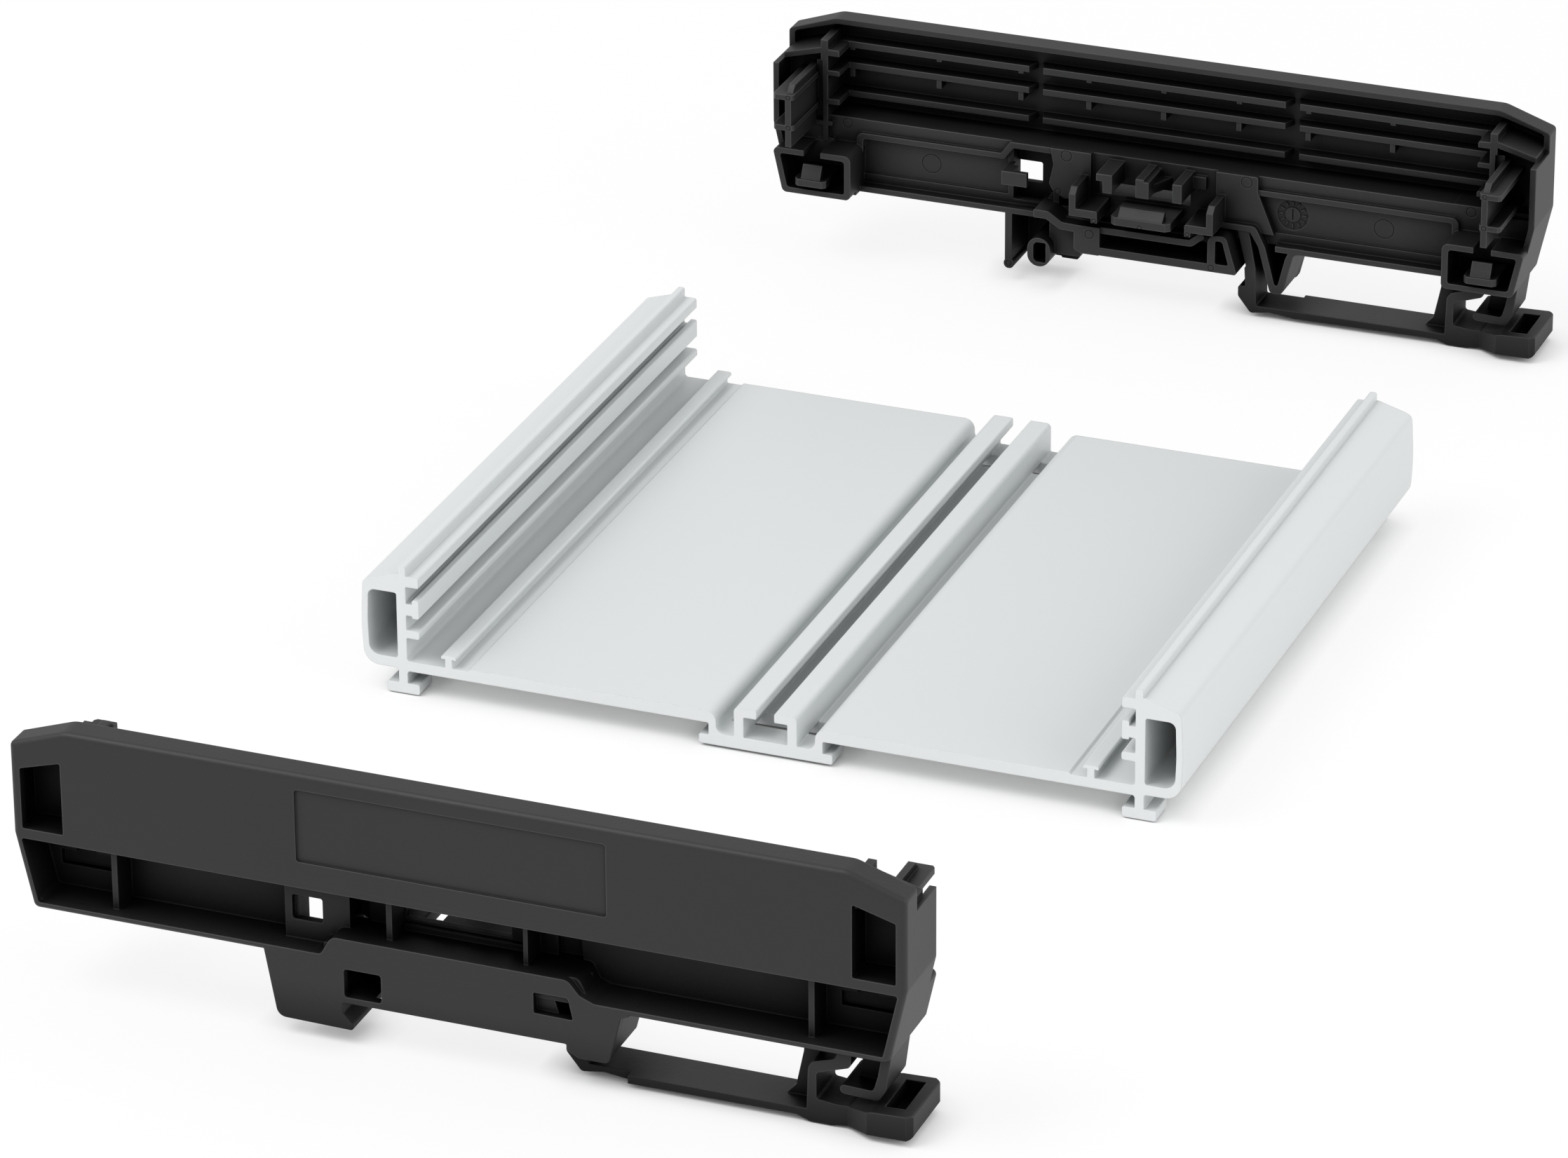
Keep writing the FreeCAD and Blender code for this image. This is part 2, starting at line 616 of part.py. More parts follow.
# Side element: fingers, brackets and latch tongue that hold the profile's base strip
def centre_grips():
    root = 6.8
    finger_low = -2.3
    finger_high = 1.2
    inner = channel_outer + slide_clearance
    outer = trough_outer - 0.1
    middle = channel_gap / 2 - slide_clearance
    shapes = [
        block(-outer, -inner, root, finger_depth, finger_low, finger_high),
        block(-outer - 1.2, -inner, root, finger_depth, finger_high - 1.3, finger_high),
        block(inner, outer, root, finger_depth, finger_low, finger_high),
        block(outer - 0.1, outer + 2.4, root, seat_depth - 0.2, finger_low + 0.6, finger_high - 0.6),
        block(-middle, middle, root, finger_depth, finger_low, finger_high - 0.4),
        block(-middle, middle - 0.9, root, finger_depth, finger_low, finger_high),
        plan_prism([(middle - 0.2, finger_depth - 2.5), (channel_inside / 2 - 0.3, seat_depth - 1.2),
                    (channel_inside / 2 - 0.3, seat_depth - 2.2), (middle - 0.2, seat_depth - 2.2)],
                   finger_low, -0.6),
    ]
    wall_inner = strip_half + 0.85
    wall_outer = wall_inner + 1.2
    leg_top = strip_bottom - slide_clearance
    leg_bottom = leg_top - 1.45
    grip_depth = 15.9
    grip_top = -plate_thickness - slide_clearance
    bracket = [
        block(wall_inner, wall_outer, 6.8, seat_depth - 0.1, leg_bottom + 0.4, 1.8),
        side_prism([(6.8, leg_bottom), (grip_depth, leg_bottom), (grip_depth, grip_top - 1.1),
                    (grip_depth - 1.2, grip_top), (6.8, grip_top)], wall_inner, wall_outer),
        prism([(8.1, leg_bottom), (wall_outer, leg_bottom, 1.3), (wall_outer, leg_top + 0.5),
               (wall_inner, leg_top + 0.5), (wall_inner, leg_top), (8.1, leg_top, 0.3)],
              6.8, grip_depth),
        block(8.1, 9.2, 6.8, grip_depth, leg_bottom - 0.8, leg_bottom + 0.1),
    ]
    shapes.extend(both_sides(bracket))
    tongue_top = strip_bottom - slide_clearance - 0.3
    tongue_bottom = tongue_top - 1.5
    shapes.append(plan_prism([
        (-5.5, 6.8), (5.5, 6.8), (5.5, tongue_end - 0.7), (4.7, tongue_end),
        (-4.7, tongue_end), (-5.5, tongue_end - 0.7)], tongue_bottom, tongue_top))
    catch = seat_depth + latch_window_start + push_clearance
    shapes.append(side_prism([
        (catch, tongue_top - 0.1), (tongue_end, tongue_top - 0.1),
        (tongue_end - 0.3, tongue_top + 0.2), (catch + 0.5, strip_bottom + 0.9),
        (catch, strip_bottom + 0.9)], -4.1, 4.1))
    shapes.append(block(-10.2, 10.2, 5.9, 7.2, tongue_bottom - 0.3, tongue_top + 0.4))
    return shapes


# Side element: block under the housing with the fixed rail hook
def rail_block(lip_depth):
    root = element_wall - 0.2
    seat_plate = rail_seat + 0.1
    hook_bottom = rail_seat - rail_thickness - 3.4
    lip = [
        (hook_wall - 1.7, hook_bottom, 0.3), (hook_wall + hook_reach, hook_bottom, 0.6),
        (hook_wall + hook_reach - 0.1, hook_bottom + 1.0, 0.6),
        (hook_wall, rail_seat - rail_thickness - 0.7, 0.4), (hook_wall, seat_plate + 0.5),
        (hook_wall - 1.7, seat_plate + 0.5)]
    shapes = [
        prism(lip, element_wall - 0.7, lip_depth),
        prism([(-27.2, -21.5, 0.5), (-25.9, -21.5, 0.5), (-25.9, element_bottom + 0.5),
               (-27.2, element_bottom + 0.5)], root, floor_depth),
        prism([(-27.4, -21.6, 0.9), (-25.5, -21.6, 0.9), (-25.5, -19.7, 0.9),
               (-27.4, -19.7, 0.9)], root, floor_depth),
        prism([(-21.0, -9.9, 0.3), (-18.6, -9.9, 1.0), (-16.0, -11.5, 1.0), (-13.2, -11.6),
               (-13.2, -10.2), (-15.6, -10.1, 1.0), (-18.2, -8.4, 1.0), (-21.0, -8.4, 0.3)],
              root, foot_depth),
        prism([(-13.4, -14.9, 0.6), (-12.0, -15.5, 0.3), (-8.6, -15.5, 0.3), (-8.6, -10.2),
               (-13.4, -10.2)], 8.4, foot_depth),
        block(-11.0, -8.6, root, floor_depth, -15.4, -10.3),
        block(-9.0, 16.2, root, foot_depth, -15.4, -13.9),
        prism([(-9.3, -11.4, 0.3), (8.3, -11.4, 1.4), (10.8, -9.4, 0.3), (9.9, -8.5, 0.3),
               (7.9, -10.2, 0.8), (-9.3, -10.2)], root, foot_depth - 0.5),
        prism([(hook_wall - 1.0, seat_plate, 0.3), (-13.0, seat_plate, 0.3), (-13.2, -10.6),
               (hook_wall - 1.0, -10.6)], 8.4, floor_depth + 0.3),
        block(hook_wall - 1.0, -13.0, root, floor_depth, seat_plate, seat_plate + 1.0),
        block(11.5, 20.0, 5.0, 6.2, -15.2, -7.6),
    ]
    left = hook_wall - 4.3
    right = hook_wall - 0.05
    tube = prism([(left, -19.2, 2.1), (right, -19.2, 2.1), (right, -13.8, 2.1),
                  (left, -13.8, 2.1)], root, foot_depth)
    bore = prism([(left + 1.1, -18.4, 0.9), (right - 0.8, -18.4, 0.3), (right - 0.8, -14.6, 0.3),
                  (left + 1.1, -14.6, 0.9)], 3.0, foot_depth + 1)
    shapes.append(tube.cut(bore))
    hollow_outer = [(11.4, -15.4, 0.3), (16.9, -15.4, 0.4), (14.7, -8.3, 1.2), (11.4, -8.6, 1.6)]
    hollow_inner = [(12.8, -13.8, 0.3), (15.3, -13.8, 0.3), (14.1, -9.4, 0.6), (12.8, -9.4, 0.4)]
    hollow = prism(hollow_outer, root, foot_depth)
    shapes.append(hollow.cut(prism(hollow_inner, 6.2, foot_depth + 1)))
    shapes.append(prism([
        (12.2, -7.9, 0.3), (18.3, -7.9, 0.8), (19.9, -10.5, 3.0), (22.2, -19.0, 0.9),
        (24.4, -19.0, 0.9), (26.4, -11.3, 0.8), (28.2, -10.7), (28.2, -9.9), (25.9, -9.9, 0.6),
        (24.9, -12.0), (23.6, -17.4, 0.4), (23.0, -17.4, 0.4), (21.2, -10.6, 2.0),
        (19.3, -6.8, 1.2), (12.2, -6.8, 0.3)], root, floor_depth))
    return shapes


# Side element: the sprung rail foot, moulded in one with the housing
def rail_foot():
    near = 2.4
    far = 10.0
    bar_bottom = rail_seat - rail_thickness - 4.95
    bar_top = bar_bottom + bar_thickness
    nose_top = rail_seat - rail_thickness - 0.05
    nose = stop_wall - 1.5
    arm = [
        (15.8, -7.2), (17.9, -7.2), (19.4, -14.9, 2.0), (19.6, bar_top, 0.3),
        (27.1, bar_top), (27.1, bar_bottom - 0.05), (22.1, bar_bottom + 0.5, 3.0),
        (18.6, bar_bottom - 0.05, 0.8), (nose, nose_top - 2.0, 1.0), (nose, nose_top, 0.5),
        (stop_wall - 0.2, nose_top, 0.2), (17.35, -15.0, 0.3), (17.6, -14.6, 0.3)]
    bar = [
        (26.3, bar_bottom, 0.1), (52.5, bar_bottom + 0.2, 2.0), (54.7, -23.95, 1.5),
        (58.1, -23.95, 3.0), (61.5, -23.1, 2.0), (61.5, -20.2, 1.0), (59.1, -20.4, 1.0),
        (55.65, -20.05, 0.5), (55.65, -15.75, 0.6), (61.0, -13.95, 1.0),
        (61.0, element_bottom + 0.3), (59.3, element_bottom + 0.3),
        (58.6, -12.95, 1.0), (54.4, -14.25, 1.8), (54.15, bar_top, 0.2), (26.3, bar_top, 0.1)]
    lever_plan = plan_prism([
        (57.5, near + 0.2), (60.5, near), (64.2, 0.2), (70.2, 0.2), (71.1, 1.0), (71.1, 11.9),
        (70.2, foot_depth - 0.2), (64.2, foot_depth - 0.2), (60.5, far), (57.5, far - 0.2)],
        -25, -18)
    lever_side = prism([
        (57.5, -23.7), (59.0, -23.8, 2.0), (64.0, -23.1, 2.0), (71.2, -23.0, 1.1),
        (71.2, -19.1, 0.5), (65.0, -19.3, 3.0), (60.5, -20.4, 2.0), (57.5, -20.3)], -1, 14)
    lever = lever_plan.common(lever_side)
    lever = lever.cut(block(66.2, 69.3, 2.5, 11.0, -22.1, -18))
    gusset = prism([
        (49.6, bar_top - 0.2), (51.2, -20.3), (52.4, -14.6), (52.7, element_bottom + 0.2),
        (55.0, element_bottom + 0.2), (55.0, bar_top - 0.2)], 5.9, 7.0)
    hook = [
        (65.8, element_bottom + 0.6), (67.2, element_bottom + 0.6), (66.4, -16.6, 1.2),
        (65.2, -18.6, 1.1), (59.3, -18.3, 0.72), (59.3, -16.85, 0.72), (64.4, -17.1, 0.7),
        (65.1, -14.6, 1.0)]
    return [
        prism(arm, near + 1.1, far),
        prism(bar, near, far),
        lever,
        gusset,
        prism(hook, near, far + 0.3),
        prism([(61.7, element_bottom + 0.2), (66.6, element_bottom + 0.2), (65.6, -17.6),
               (60.9, -17.5), (61.4, -14.6)], 5.9, 7.0),
    ]


# Side element: shallow rings left on the moulding by its ejector pins, and a dial
def ring(x, z, depth, radius):
    """A shallow ring cut into a face at one depth."""
    outer = Part.makeCylinder(radius, 1.0, FreeCAD.Vector(x, depth - 0.1, z),
                              FreeCAD.Vector(0, 1, 0))
    inner = Part.makeCylinder(radius - 0.16, 2.0, FreeCAD.Vector(x, depth - 0.5, z),
                              FreeCAD.Vector(0, 1, 0))
    return outer.cut(inner)


def face_marks():
    """Rings and the dial, as solids to cut away."""
    frame_top = 8.2
    panel = 7.7
    marks = []
    for side in (-1, 1):
        marks.append(ring(side * 42.0, -4.8, panel, 1.85))
        marks.append(ring(side * 57.8, 0.9, frame_top, 0.95))
        marks.append(ring(side * (cavity_inner + 1.15), 4.1, post_depth, 0.45))
        marks.append(ring(side * (cavity_inner + 1.15), 9.9, post_depth, 0.45))
        marks.append(ring(side * 62.5, 17.0, rim_depth, 0.4))
        marks.append(ring(side * 68.9, 15.1, rim_depth, 0.4))
        marks.append(ring(side * 8.65, -7.6, 15.9, 0.45))
    marks.append(ring(-16.2, 1.0, seat_depth - 0.1, 1.05))
    marks.append(ring(-17.7, -6.0, seat_depth - 0.1, 0.6))
    marks.append(ring(17.2, 0.9, seat_depth - 0.1, 1.05))
    marks.append(ring(-10.5, -11.6, foot_depth, 0.85))
    marks.append(ring(12.1, -14.6, foot_depth, 0.6))
    marks.append(ring(-26.45, -20.6, floor_depth, 0.55))
    marks.append(ring(0, -7.4, tongue_end, 0.45))
    dial_x = 25.3
    dial_z = -4.6
    along = FreeCAD.Vector(0, 1, 0)
    dial = Part.makeCylinder(2.85, 1.0, FreeCAD.Vector(dial_x, panel - 0.25, dial_z), along)
    dial = dial.cut(Part.makeCylinder(1.35, 0.25, FreeCAD.Vector(dial_x, panel - 0.25, dial_z), along))
    for step in range(12):
        tick = block(-0.12, 0.12, panel - 0.4, panel, 1.75, 2.5)
        tick.rotate(FreeCAD.Vector(0, 0, 0), along, step * 30)
        tick.translate(FreeCAD.Vector(dial_x, 0, dial_z))
        dial = dial.cut(tick)
    marks.append(dial)
    marks.append(block(dial_x - 0.15, dial_x + 0.15, panel - 0.2, panel + 0.5, dial_z - 1.0, dial_z + 1.1))
    return marks


def make_element(lip_depth):
    shapes = [outer_wall()]
    shapes.extend(shell_walls())
    shapes.extend(long_ribs())
    shapes.extend(end_walls())
    shapes.extend(posts())
    shapes.extend(pockets())
    shapes.extend(lower_wall())
    shapes.extend(pad_and_dividers())
    shapes.extend(centre_grips())
    shapes.extend(rail_block(lip_depth))
    shapes.extend(rail_foot())
    return join(shapes).cut(Part.makeCompound(face_marks()))


def main():
    os.makedirs("parts", exist_ok=True)
    middle = profile_length / 2
    profile = make_profile()
    profile.translate(FreeCAD.Vector(0, -middle, 0))
    front = make_element(front_lip_depth)
    rear = make_element(rear_lip_depth)
    rear = rear.mirror(FreeCAD.Vector(0, 0, 0), FreeCAD.Vector(0, 1, 0))
    front.translate(FreeCAD.Vector(front_shift, -middle - front_gap, 0))
    rear.translate(FreeCAD.Vector(rear_shift, middle + rear_gap, 0))
    pieces = {"base_profile": profile, "front_side_element": front, "rear_side_element": rear}
    for piece in pieces.values():
        piece.translate(FreeCAD.Vector(0, 0, -piece.optimalBoundingBox(False).ZMin))
    whole = Part.makeCompound(list(pieces.values())).optimalBoundingBox(False)
    centre = FreeCAD.Vector((whole.XMin + whole.XMax) / 2, (whole.YMin + whole.YMax) / 2, 0)
    for name, piece in pieces.items():
        piece.translate(-centre)
        piece.exportStep("parts/" + name + ".step")
        print(name, len(piece.Solids), piece.isValid(), round(piece.Volume))
    print("moved by", round(-centre.x, 3), round(-centre.y, 3))


main()
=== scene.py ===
# %% [markdown]
# # A rail-mounted circuit board tray, taken apart
#
# Three pieces stand apart on a white table: a light grey extruded tray, and the two
# near-black moulded ends that plug onto it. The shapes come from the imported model.
# This notebook adds what the shapes don't have: materials, light and a camera.

# %%
import math

import bpy
from mathutils import Matrix, Vector

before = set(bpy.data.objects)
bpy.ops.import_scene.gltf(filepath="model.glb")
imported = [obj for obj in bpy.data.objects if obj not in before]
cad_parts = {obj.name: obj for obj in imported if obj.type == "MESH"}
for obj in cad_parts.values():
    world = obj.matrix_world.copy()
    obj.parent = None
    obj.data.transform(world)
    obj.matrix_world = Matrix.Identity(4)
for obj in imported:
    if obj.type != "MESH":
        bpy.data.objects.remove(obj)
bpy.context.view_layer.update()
print("pieces:", sorted(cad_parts))

# %% [markdown]
# ## Small helpers
#
# A node group is a box of shader nodes with named inputs and outputs. These helpers
# make one, add a node to it, and join two sockets, so that the cells below stay short.

# %%
def new_group(name, inputs, outputs):
    """A shader node group, with its input and output nodes."""
    group = bpy.data.node_groups.new(name, "ShaderNodeTree")
    for label, kind, default in inputs:
        socket = group.interface.new_socket(label, in_out="INPUT", socket_type=kind)
        if default is not None:
            socket.default_value = default
    for label, kind in outputs:
        group.interface.new_socket(label, in_out="OUTPUT", socket_type=kind)
    start = group.nodes.new("NodeGroupInput")
    end = group.nodes.new("NodeGroupOutput")
    start.location = (-900, 0)
    end.location = (500, 0)
    return group, start, end


def add(tree, kind, place, **settings):
    """A node at a place, with its settings and any input values by name."""
    node = tree.nodes.new(kind)
    node.location = place
    for key, value in settings.items():
        if hasattr(node, key):
            setattr(node, key, value)
        else:
            node.inputs[key].default_value = value
    return node


def maths(tree, operation, place, first=None, second=None):
    """A maths node whose inputs are numbers or sockets."""
    node = add(tree, "ShaderNodeMath", place, operation=operation)
    for index, value in enumerate((first, second)):
        if value is None:
            continue
        if isinstance(value, (int, float)):
            node.inputs[index].default_value = value
        else:
            tree.links.new(value, node.inputs[index])
    return node.outputs[0]


print("helpers ready")

# %% [markdown]
# ## Softened edges and a painted edge highlight
#
# Real mouldings and saw cuts never have perfectly sharp edges. This group compares the
# surface's direction with the same direction taken over a small bevel. Where they
# differ there is an edge, and the group gives a mask from 0 to 1. The materials use
# this mask to lighten the colour along the edges as a painted highlight.

# %%
def make_edge_group():
    group, start, end = new_group(
        "Edge mask",
        [("Radius", "NodeSocketFloat", 0.0004), ("Strength", "NodeSocketFloat", 4.0)],
        [("Mask", "NodeSocketFloat"), ("Soft normal", "NodeSocketVector")],
    )
    bevel = add(group, "ShaderNodeBevel", (-650, 100), samples=6)
    shape = add(group, "ShaderNodeNewGeometry", (-650, -150))
    compare = add(group, "ShaderNodeVectorMath", (-400, 0), operation="DOT_PRODUCT")
    group.links.new(start.outputs["Radius"], bevel.inputs["Radius"])
    group.links.new(bevel.outputs[0], compare.inputs[0])
    group.links.new(shape.outputs["Normal"], compare.inputs[1])
    away = maths(group, "SUBTRACT", (-200, 0), 1.0, compare.outputs["Value"])
    scaled = maths(group, "MULTIPLY", (0, 0), away, start.outputs["Strength"])
    limit = add(group, "ShaderNodeClamp", (200, 0))
    group.links.new(scaled, limit.inputs[0])
    group.links.new(limit.outputs[0], end.inputs["Mask"])
    group.links.new(bevel.outputs[0], end.inputs["Soft normal"])
    return group


edge_group = make_edge_group()
print("node group:", edge_group.name)

# %% [markdown]
# ## Painted shade in hollows
#
# Light that bounces about in a deep slot of dark plastic is soon swallowed, and the
# photograph shows the hollows almost black. This group looks round each point for
# nearby walls and gives a value that is 1 in the open and falls towards 0 in a hollow.
# Closed and Clear set how hemmed in a point must be to count as shut or as open. The
# materials use this value to paint shade into their colour.

# %%
def make_hollow_group():
    group, start, end = new_group(
        "Hollow shade",
        [("Reach", "NodeSocketFloat", 0.008), ("Closed", "NodeSocketFloat", 0.0),
         ("Clear", "NodeSocketFloat", 1.0), ("Depth", "NodeSocketFloat", 1.5)],
        [("Open", "NodeSocketFloat")],
    )
    look = add(group, "ShaderNodeAmbientOcclusion", (-600, 0), samples=8)
    group.links.new(start.outputs["Reach"], look.inputs["Distance"])
    between = add(group, "ShaderNodeMapRange", (-350, 0))
    group.links.new(look.outputs["AO"], between.inputs["Value"])
    group.links.new(start.outputs["Closed"], between.inputs["From Min"])
    group.links.new(start.outputs["Clear"], between.inputs["From Max"])
    power = add(group, "ShaderNodeMath", (-100, 0), operation="POWER")
    group.links.new(between.outputs[0], power.inputs[0])
    group.links.new(start.outputs["Depth"], power.inputs[1])
    group.links.new(power.outputs[0], end.inputs["Open"])
    return group


hollow_group = make_hollow_group()
print("node group:", hollow_group.name)

# %% [markdown]
# ## Moulded grain
#
# The dark ends come from a mould whose steel was roughened by sparks, which leaves a
# fine pebbled grain. Two sizes of noise give its height, and a slow third noise makes
# the sheen drift a little from place to place.

# %%
def make_grain_group():
    group, start, end = new_group(
        "Moulded grain",
        [("Size", "NodeSocketFloat", 2600.0), ("Drift size", "NodeSocketFloat", 28.0)],
        [("Height", "NodeSocketFloat"), ("Drift", "NodeSocketFloat")],
    )
    place = add(group, "ShaderNodeTexCoord", (-700, 0))
    fine = add(group, "ShaderNodeTexNoise", (-450, 200), Detail=3.0, Roughness=0.6)
    coarse = add(group, "ShaderNodeTexVoronoi", (-450, -50), feature="SMOOTH_F1")
    drift = add(group, "ShaderNodeTexNoise", (-450, -300), Detail=2.0)
    half = maths(group, "MULTIPLY", (-600, -120), start.outputs["Size"], 0.6)
    for node in (fine, coarse, drift):
        group.links.new(place.outputs["Object"], node.inputs["Vector"])
    group.links.new(start.outputs["Size"], fine.inputs["Scale"])
    group.links.new(half, coarse.inputs["Scale"])
    group.links.new(start.outputs["Drift size"], drift.inputs["Scale"])
    total = maths(group, "ADD", (-150, 100), fine.outputs[0], coarse.outputs["Distance"])
    group.links.new(total, end.inputs["Height"])
    group.links.new(drift.outputs[0], end.inputs["Drift"])
    return group


grain_group = make_grain_group()
print("node group:", grain_group.name)

# %% [markdown]
# ## Lines left by the extrusion die
#
# Plastic pushed through a die carries faint lines along its length, here along Y.
# Noise that is squeezed across the tray and stretched along it gives those lines.
# The saw cuts at the ends get their own fine scratches, so the group also tells
# which faces look along Y.

# %%
def make_extrusion_group():
    group, start, end = new_group(
        "Extrusion lines",
        [("Lines per metre", "NodeSocketFloat", 1800.0)],
        [("Height", "NodeSocketFloat"), ("End face", "NodeSocketFloat"),
         ("Saw marks", "NodeSocketFloat")],
    )
    place = add(group, "ShaderNodeTexCoord", (-800, 0))
    squeeze = add(group, "ShaderNodeMapping", (-620, 150))
    squeeze.inputs["Scale"].default_value = (1.0, 0.012, 1.0)
    lines = add(group, "ShaderNodeTexNoise", (-400, 150), Detail=4.0, Roughness=0.65)
    group.links.new(place.outputs["Object"], squeeze.inputs["Vector"])
    group.links.new(squeeze.outputs[0], lines.inputs["Vector"])
    group.links.new(start.outputs["Lines per metre"], lines.inputs["Scale"])
    turn = add(group, "ShaderNodeMapping", (-620, -250))
    turn.inputs["Rotation"].default_value = (0.0, math.radians(24), 0.0)
    turn.inputs["Scale"].default_value = (0.05, 1.0, 1.0)
    saw = add(group, "ShaderNodeTexNoise", (-400, -250), Scale=2400.0, Detail=3.0)
    group.links.new(place.outputs["Object"], turn.inputs["Vector"])
    group.links.new(turn.outputs[0], saw.inputs["Vector"])
    shape = add(group, "ShaderNodeNewGeometry", (-620, -450))
    parts = add(group, "ShaderNodeSeparateXYZ", (-400, -450))
    group.links.new(shape.outputs["True Normal"], parts.inputs[0])
    facing = maths(group, "ABSOLUTE", (-200, -450), parts.outputs["Y"])
    is_end = maths(group, "GREATER_THAN", (0, -450), facing, 0.9)
    group.links.new(lines.outputs[0], end.inputs["Height"])
    group.links.new(is_end, end.inputs["End face"])
    group.links.new(saw.outputs[0], end.inputs["Saw marks"])
    return group


extrusion_group = make_extrusion_group()
print("node group:", extrusion_group.name)

# %% [markdown]
# ## The near-black moulded plastic
#
# Matte, with edges made brighter by a painted highlight, hollows darkened and their
# sheen dimmed by painted shade, the pebbled grain as bump, and a roughness that
# drifts slightly.

# %%
def new_material(name):
    material = bpy.data.materials.new(name)
    material.use_nodes = True
    tree = material.node_tree
    shader = tree.nodes["Principled BSDF"]
    shader.location = (500, 0)
    tree.nodes["Material Output"].location = (800, 0)
    return material, tree, shader


def use_group(tree, group, place):
    node = tree.nodes.new("ShaderNodeGroup")
    node.node_tree = group
    node.location = place
    return node


def make_dark_moulding():
    material, tree, shader = new_material("dark_moulding")
    edges = use_group(tree, edge_group, (-500, 250))
    edges.inputs["Radius"].default_value = 0.00035
    edges.inputs["Strength"].default_value = 5.0
    grain = use_group(tree, grain_group, (-500, -50))
    # Painted highlight: the edge mask lightens the edges towards colour B.
    colour = add(tree, "ShaderNodeMix", (0, 250), data_type="RGBA")
    colour.inputs["A"].default_value = (0.0135, 0.0135, 0.0137, 1)
    colour.inputs["B"].default_value = (0.066, 0.066, 0.067, 1)
    tree.links.new(edges.outputs["Mask"], colour.inputs["Factor"])
    # Painted shade: hollows are darkened towards near-black in the base colour.
    hollow = use_group(tree, hollow_group, (-500, 480))
    hollow.inputs["Reach"].default_value = 0.010
    hollow.inputs["Depth"].default_value = 1.6
    shaded = add(tree, "ShaderNodeMix", (250, 350), data_type="RGBA")
    shaded.inputs["A"].default_value = (0.0015, 0.0015, 0.0015, 1)
    tree.links.new(hollow.outputs["Open"], shaded.inputs["Factor"])
    tree.links.new(colour.outputs["Result"], shaded.inputs["B"])
    tree.links.new(shaded.outputs["Result"], shader.inputs["Base Color"])
    # Painted shade on the sheen: the specular level is dimmed in hollows.
    sheen = add(tree, "ShaderNodeMath", (250, 100), operation="MULTIPLY")
    sheen.inputs[1].default_value = 0.45
    tree.links.new(hollow.outputs["Open"], sheen.inputs[0])
    tree.links.new(sheen.outputs[0], shader.inputs["Specular IOR Level"])
    rough = add(tree, "ShaderNodeMapRange", (0, -20))
    rough.inputs["To Min"].default_value = 0.46
    rough.inputs["To Max"].default_value = 0.58
    tree.links.new(grain.outputs["Drift"], rough.inputs["Value"])
    tree.links.new(rough.outputs[0], shader.inputs["Roughness"])
    bump = add(tree, "ShaderNodeBump", (0, -300), Strength=0.25, Distance=0.00006)
    tree.links.new(grain.outputs["Height"], bump.inputs["Height"])
    tree.links.new(edges.outputs["Soft normal"], bump.inputs["Normal"])
    tree.links.new(bump.outputs[0], shader.inputs["Normal"])
    return material


dark_moulding = make_dark_moulding()
print("material:", dark_moulding.name)

# %% [markdown]
# ## The light grey extruded plastic
#
# Satin, very slightly blue-green, with the die's lines along it. The sawn ends are a
# little paler and rougher, with fine scratches. Edges are lightened by a painted
# highlight, and hollows between the ribs and in the channels are darkened by painted shade.

# %%
def make_light_profile():
    material, tree, shader = new_material("light_profile")
    edges = use_group(tree, edge_group, (-600, 300))
    edges.inputs["Radius"].default_value = 0.00025
    edges.inputs["Strength"].default_value = 3.0
    lines = use_group(tree, extrusion_group, (-600, 0))
    ends = add(tree, "ShaderNodeMix", (-250, 300), data_type="RGBA")
    ends.inputs["A"].default_value = (0.605, 0.628, 0.630, 1)
    ends.inputs["B"].default_value = (0.76, 0.782, 0.788, 1)
    tree.links.new(lines.outputs["End face"], ends.inputs["Factor"])
    # Painted highlight: the edge mask lightens the edges towards a paler grey.
    edge_highlight = add(tree, "ShaderNodeMix", (0, 300), data_type="RGBA")
    edge_highlight.inputs["B"].default_value = (0.80, 0.82, 0.82, 1)
    half = maths(tree, "MULTIPLY", (-250, 120), edges.outputs["Mask"], 0.5)
    tree.links.new(half, edge_highlight.inputs["Factor"])
    tree.links.new(ends.outputs["Result"], edge_highlight.inputs["A"])
    # Painted shade: hollows between the ribs and inside the channels are darkened in the base
    # colour.
    hollow = use_group(tree, hollow_group, (0, 520))
    hollow.inputs["Reach"].default_value = 0.006
    hollow.inputs["Closed"].default_value = 0.04
    hollow.inputs["Clear"].default_value = 0.24
    hollow.inputs["Depth"].default_value = 1.0
    shaded = add(tree, "ShaderNodeMix", (250, 400), data_type="RGBA")
    shaded.inputs["A"].default_value = (0.20, 0.215, 0.218, 1)
    tree.links.new(hollow.outputs["Open"], shaded.inputs["Factor"])
    tree.links.new(edge_highlight.outputs["Result"], shaded.inputs["B"])
    tree.links.new(shaded.outputs["Result"], shader.inputs["Base Color"])
    rough = add(tree, "ShaderNodeMix", (0, 60), data_type="FLOAT")
    rough.inputs["A"].default_value = 0.38
    rough.inputs["B"].default_value = 0.62
    tree.links.new(lines.outputs["End face"], rough.inputs["Factor"])
    tree.links.new(rough.outputs["Result"], shader.inputs["Roughness"])
    height = add(tree, "ShaderNodeMix", (-250, -150), data_type="FLOAT")
    tree.links.new(lines.outputs["End face"], height.inputs["Factor"])
    tree.links.new(lines.outputs["Height"], height.inputs["A"])
    tree.links.new(lines.outputs["Saw marks"], height.inputs["B"])
    bump = add(tree, "ShaderNodeBump", (0, -300), Strength=0.15, Distance=0.00005)
    tree.links.new(height.outputs["Result"], bump.inputs["Height"])
    tree.links.new(edges.outputs["Soft normal"], bump.inputs["Normal"])
    tree.links.new(bump.outputs[0], shader.inputs["Normal"])
    return material


light_profile = make_light_profile()
print("material:", light_profile.name)

# %% [markdown]
# ## Materials onto the pieces
#
# The pieces keep their shapes and places. Only the material in each slot changes.

